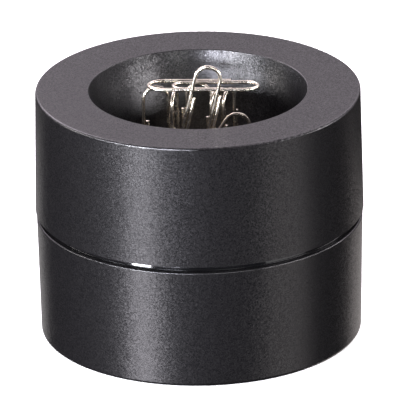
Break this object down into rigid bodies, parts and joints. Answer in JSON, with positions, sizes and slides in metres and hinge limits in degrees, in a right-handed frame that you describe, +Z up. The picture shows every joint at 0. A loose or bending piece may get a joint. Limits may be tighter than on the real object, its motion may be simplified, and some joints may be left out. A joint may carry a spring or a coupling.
{
  "type": "magnetic paper clip holder",
  "caption": "Round two-part desk holder with a magnet under a funnel bowl, which keeps loose wire paper clips gathered and upright.",
  "frame": {"origin": "middle of the base pad's underside, on the table", "axes": "+Z up out of the bowl, -Y towards the viewer of the picture, +X to the viewer's right"},
  "size_m": [0.073, 0.073, 0.0643],
  "materials": {
    "shell_plastic": "black ABS, fine spark-eroded grain",
    "ring_plastic": "black ABS, polished",
    "magnet": "ground hard ferrite",
    "steel": "zinc-plated sheet steel",
    "screw_steel": "zinc-plated screws",
    "cup_plastic": "dark grey ABS, plain moulded",
    "pad": "black foam rubber",
    "clip_wire": "bright nickel-plated steel wire"
  },
  "bodies": {
    "holder": {"upper_shell": "shell_plastic", "joint_ring": "ring_plastic", "lower_shell": "shell_plastic", "magnet": "magnet", "pole_plate": "steel", "magnet_cup": "cup_plastic", "cup_screws": "screw_steel", "shell_screws": "screw_steel", "base_pad": "pad"},
    "standing_clips": {"clip_left": "clip_wire", "clip_left_edge": "clip_wire", "clip_middle": "clip_wire", "clip_right": "clip_wire", "clip_back": "clip_wire"},
    "lying_clip": {"clip_lying": "clip_wire"},
    "front_clip": {"clip_front": "clip_wire"},
    "low_clip": {"clip_low": "clip_wire"}
  },
  "joints": [
    {"name": "standing_clips_lift", "type": "slide", "parent": "holder", "child": "standing_clips", "axis": [0, 0, 1], "range_m": [0, 0.04]},
    {"name": "lying_clip_lift", "type": "slide", "parent": "standing_clips", "child": "lying_clip", "axis": [0, 0, 1], "range_m": [0, 0.03]},
    {"name": "front_clip_lift", "type": "slide", "parent": "holder", "child": "front_clip", "axis": [0.23, 0, 0.9732], "range_m": [0, 0.03]},
    {"name": "low_clip_lift", "type": "slide", "parent": "holder", "child": "low_clip", "axis": [0.5592, 0, 0.829], "range_m": [0, 0.035]}
  ]
}
